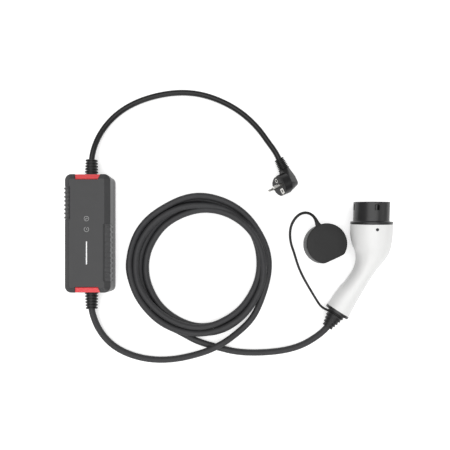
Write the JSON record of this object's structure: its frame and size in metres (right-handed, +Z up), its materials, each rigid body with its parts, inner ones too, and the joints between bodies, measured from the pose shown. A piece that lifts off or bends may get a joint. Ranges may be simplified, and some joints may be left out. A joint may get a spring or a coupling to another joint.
{
  "type": "portable ev charger",
  "caption": "Portable EV charger: in-cable control box, mains lead with angled earthed plug, coiled charging lead and vehicle connector gun with tethered cap.",
  "frame": {"origin": "middle of the control box's flat underside, on the floor that everything lies on", "axes": "+Z up off the floor, +Y along the control box from its charging end to its mains end and along the gun's nose, +X from the box to the gun"},
  "size_m": [0.5703, 0.4935, 0.0737],
  "materials": {
    "cover_plastic": "fine satin texture",
    "seal_rubber": "matt",
    "trim_plastic": "semi-gloss red",
    "grip_rubber": "matt",
    "light_pipe": "clear white",
    "boot_rubber": "satin",
    "screw_steel": "black oxide",
    "inner_plastic": "moulded",
    "board_laminate": "solder mask",
    "relay_plastic": "moulded",
    "core_sheath": "insulation",
    "spring_metal": "plated",
    "mains_sheath": "gloss",
    "plug_plastic": "satin",
    "pin_metal": "nickel plate",
    "ev_sheath": "matt",
    "handle_plastic": "smooth white",
    "nose_plastic": "satin",
    "contact_metal": "silver plate",
    "cap_rubber": "matt"
  },
  "bodies": {
    "root": {"front_cover": "cover_plastic", "rear_cover": "cover_plastic", "housing_seal": "seal_rubber", "mains_end_trim": "trim_plastic", "ev_end_trim": "trim_plastic", "left_grip": "grip_rubber", "right_grip": "grip_rubber", "light_bar": "light_pipe", "mains_strain_relief": "boot_rubber", "ev_strain_relief": "boot_rubber", "mains_cord_clamp": "inner_plastic", "ev_cord_clamp": "inner_plastic", "clamp_screws": "screw_steel", "housing_screws": "screw_steel", "main_board": "board_laminate", "board_screws": "screw_steel", "relay_live": "relay_plastic", "relay_neutral": "relay_plastic", "leakage_sensor": "inner_plastic", "supply_module": "inner_plastic", "supply_capacitors": "relay_plastic", "mains_terminal": "inner_plastic", "ev_terminal": "inner_plastic", "controller_chip": "inner_plastic", "board_connector": "inner_plastic", "indicator_board": "board_laminate", "indicator_screws": "screw_steel", "status_leds": "light_pipe", "touch_springs": "spring_metal", "mains_cores": "core_sheath", "ev_cores": "core_sheath", "mains_cable": "mains_sheath", "plug_body": "plug_plastic", "plug_bridge": "plug_plastic", "plug_pin_line": "pin_metal", "plug_pin_neutral": "pin_metal", "plug_earth_strap": "pin_metal", "plug_earth_socket": "pin_metal", "ev_cable_lead_in": "ev_sheath", "ev_cable_coil": "ev_sheath", "ev_cable_lead_out": "ev_sheath", "gun_handle": "handle_plastic", "nose_shroud": "nose_plastic", "contact_carrier": "nose_plastic", "contact_live": "contact_metal", "contact_neutral": "contact_metal", "contact_earth": "contact_metal", "contact_pilot": "contact_metal", "contact_proximity": "contact_metal", "gun_screws": "screw_steel", "handle_end_ring": "nose_plastic", "gun_strain_relief": "boot_rubber", "gun_cord_clamp": "inner_plastic", "dust_cap": "cap_rubber", "cap_tether": "cap_rubber", "tether_ring": "cap_rubber"}
  },
  "joints": []
}
